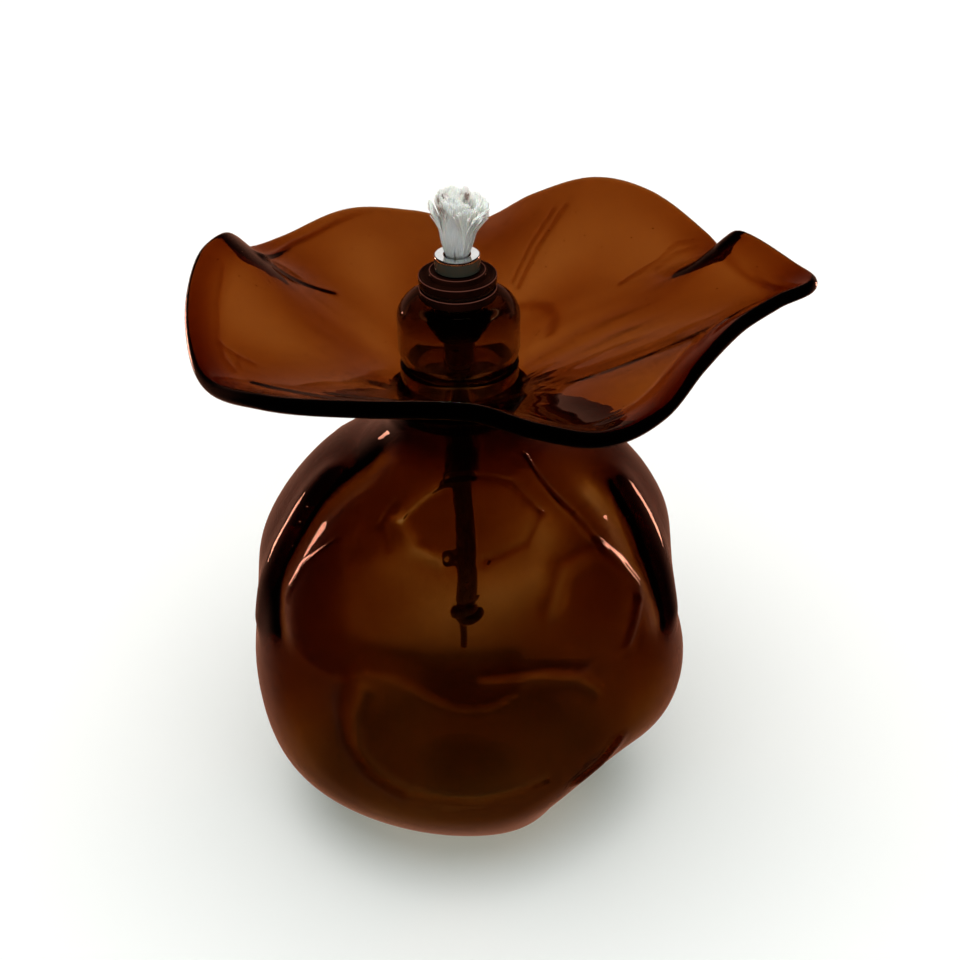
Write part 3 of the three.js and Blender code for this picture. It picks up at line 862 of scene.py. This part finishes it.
def tuft_sheaves():
    """Sheaves of the frayed end: azimuth, reach at the tips, drop of the tips below the top,
    spread in degrees, radius in the ring."""
    sheaves = []
    for k in range(16):
        angle = 22.5 * k + random.uniform(-6, 6)
        right = math.cos(math.radians(angle))
        out = 6.4 + right * abs(right) + random.uniform(-0.5, 0.5)
        drop = 3.2 + 1.6 * right + random.uniform(-1.3, 1.3)
        sheaves.append((angle, out, drop, random.uniform(10, 14), 3.1))
    for k in range(10):
        angle, out = 36 * k + random.uniform(-10, 10), random.uniform(3, 5)
        sheaves.append((angle, out, random.uniform(0.8, 3), random.uniform(12, 20), 2))
    for k in range(5):
        out, drop = random.uniform(0.8, 2), random.uniform(0.6, 2.4)
        sheaves.append((72 * k, out, drop, random.uniform(25, 40), 1))
    for k in range(7):
        out, drop = 10 - 0.12 * (k - 3) ** 2, 6.6 - 0.55 * k + random.uniform(-0.6, 0.6)
        sheaves.append((-46 + 15 * k, out, drop, 9, 3.1))
    for k in range(3):
        sheaves.append((168 + 14 * k, 8, 3.6 + 0.8 * k, 8, 3.1))
    return sheaves


def filament(sheaf):
    """Path of one filament, which leaves the ring upright and opens like a petal."""
    angle, out, drop, spread, start = sheaf
    lean, twist = random.gauss(0, 1), random.gauss(0, 1)
    tip = TUFT_HIGH - drop - abs(random.gauss(0, 0.6)) - 0.3 * lean * lean
    path = []
    for s in np.linspace(0, 1, 11):
        open_up = s**1.7
        waist = 1 + 0.35 * math.sin(math.pi * min(1, s * 1.6)) * (start > 2)
        curl = 9 * math.sin(3 * s + angle)
        a = math.radians(angle + lean * spread * (0.45 + 0.75 * open_up) + curl)
        r = start * waist * (1 - open_up) + (out + 0.2 * twist + 0.15 * lean * lean) * open_up
        z = TUFT_LOW + 0.1 + (tip - TUFT_LOW) * (s - 0.1 * open_up * (out / 10) ** 2)
        path.append([r * math.cos(a), 0.8 * r * math.sin(a), z])
    return path


def tapered(thick):
    """Radius of a filament, which is thinner towards its tip."""
    def radius_at(turns, run):
        return np.full(len(turns), thick * (1 - 0.35 * smooth(run, 17, 24)))
    return radius_at


def wick_tuft():
    """Frayed end of the wick: sheaves of filaments, with a few scorched spots."""
    vertices, faces = [], []
    for sheaf in tuft_sheaves():
        for _ in range(44):
            path = filament(sheaf)
            more, quads = sweep(path, tapered(random.uniform(0.15, 0.27)), 5)
            first = len(vertices)
            faces += [tuple(first + i for i in face) for face in quads]
            vertices += list(more)
    burns = [
        ([-5.1, -3.2, TUFT_HIGH - 6.8], 1.5), ([-4, -0.5, TUFT_HIGH - 4.2], 1.4),
        ([3, -1, TUFT_HIGH - 3.2], 1.3),
    ]
    points = np.array(vertices)
    scorch = np.zeros(len(points))
    for place, reach in burns:
        scorch += np.exp(-((np.linalg.norm(points - place, axis=1) / reach) ** 2))
    tuft = build("wick_tuft_fibres", vertices, faces, WHITE_FIBRE, "wick", "wick_fibre", ["wick_tuft"])
    burnt = tuft.data.attributes.new("scorch", "FLOAT", "POINT")
    burnt.data.foreach_set("value", np.clip(3 * scorch, 0, 1).astype(np.float32))


wick_tuft()


# ---- Floor and light ----
def paper_floor():
    """Pale paper that glows faintly and doesn't show in the glass."""
    reach = 4.0
    corners = [(-reach, -reach, 0), (reach, -reach, 0), (reach, reach, 0), (-reach, reach, 0)]
    mesh = bpy.data.meshes.new("floor")
    mesh.from_pydata(corners, [], [(0, 1, 2, 3)])
    paper, principled = shader(
        "white_paper", Roughness=0.9, Emission_Color=(0.62, 0.8, 0.66, 1), Emission_Strength=0.16
    )
    tone = ramp(paper, noise(paper, object_space(paper), 3, 2), [(0, grey(0.86)), (1, grey(0.9))])
    link(paper, tone, principled.inputs["Base Color"])
    mesh.materials.append(paper)
    floor = bpy.data.objects.new("floor", mesh)
    bpy.context.scene.collection.objects.link(floor)
    floor.visible_glossy = False
    return floor


def dark_room():
    """World that is pale for the camera. For all other rays it is nearly black, with a dim
    reddish-brown glow low down behind the lamp."""
    world = bpy.data.worlds.new("studio")
    world.use_nodes = True
    bpy.context.scene.world = world
    tree = world.node_tree
    seen = tree.nodes["Background"]
    seen.inputs["Color"].default_value = (0.93, 0.95, 0.96, 1)
    way = add(world, "ShaderNodeTexCoord").outputs["Generated"]
    parts = add(world, "ShaderNodeSeparateXYZ", {"Vector": way}).outputs

    def fade(axis, start, end):
        """0 in directions before start along an axis, 1 past end."""
        inputs = {"Value": parts[axis], "From Min": start, "From Max": end}
        return add(world, "ShaderNodeMapRange", inputs).outputs["Result"]

    glow = maths(world, "MULTIPLY", fade("Z", 0.5, 0.05), fade("Y", 0.0, 0.5))
    shade = ramp(world, glow, [(0, (0.012, 0.01, 0.01)), (1, (0.3, 0.125, 0.08))])
    room = add(world, "ShaderNodeBackground", {"Color": shade}).outputs["Background"]
    camera_ray = add(world, "ShaderNodeLightPath").outputs["Is Camera Ray"]
    mix = add(world, "ShaderNodeMixShader", {"Fac": camera_ray, 1: room, 2: seen.outputs["Background"]})
    link(world, mix.outputs["Shader"], tree.nodes["World Output"].inputs["Surface"])


def lamp(name, kind, energy, place, target=(0, 0, 0.1), mirrored=True, only=None, past=None, **settings):
    """A light aimed at a target. only is the one object that it lights and past the one that
    stops it; without them it lights, and is stopped by, everything."""
    light = bpy.data.lights.new(name, kind)
    light.energy = energy
    for key, value in settings.items():
        setattr(light, key, value)
    holder = bpy.data.objects.new(name, light)
    holder.location = place
    holder.rotation_euler = (Vector(target) - Vector(place)).to_track_quat("-Z", "Y").to_euler()
    holder.visible_glossy, holder.visible_transmission = mirrored, False
    bpy.context.scene.collection.objects.link(holder)
    if only:
        holder.light_linking.receiver_collection = bpy.data.collections.new(name + "_lit")
        holder.light_linking.receiver_collection.objects.link(only)
    if past:
        holder.light_linking.blocker_collection = bpy.data.collections.new(name + "_blocked")
        holder.light_linking.blocker_collection.objects.link(past)


def lamps(floor):
    """Soft suns from above, strips low at the sides, and one light each for floor and ring."""
    lamp("overhead", "SUN", 2.5, (0, -0.1, 1), mirrored=False, angle=math.radians(60))
    lamp("fill", "SUN", 0.42, (0, -0.05, 1), mirrored=False, angle=math.radians(178), color=(0.93, 1, 0.95))
    lamp("front", "SUN", 0.73, (0, -0.8, 0.7), mirrored=False, angle=math.radians(70))
    for side in (-1, 1):
        lamp("side_strip", "AREA", 2.3, (side * 0.8, 0.62, 0.08), color=(1, 0.45, 0.3),
             shape="RECTANGLE", size=0.16, size_y=0.4)
    ferrule = bpy.data.objects["ferrule"]
    lamp("gathered", "SPOT", 1.6, (0, -0.005, 0.5), (0, -0.005, 0), mirrored=False, only=floor, past=ferrule,
         color=(1, 0.72, 0.5), spot_size=math.radians(13), spot_blend=0.9, shadow_soft_size=0.01)
    lamp("back_box", "AREA", 0.4, (0, 1.1, 0.76), only=ferrule,
         shape="RECTANGLE", size=0.5, size_y=0.3)


floor = paper_floor()
dark_room()
lamps(floor)
bpy.context.scene.view_settings.view_transform = "Standard"
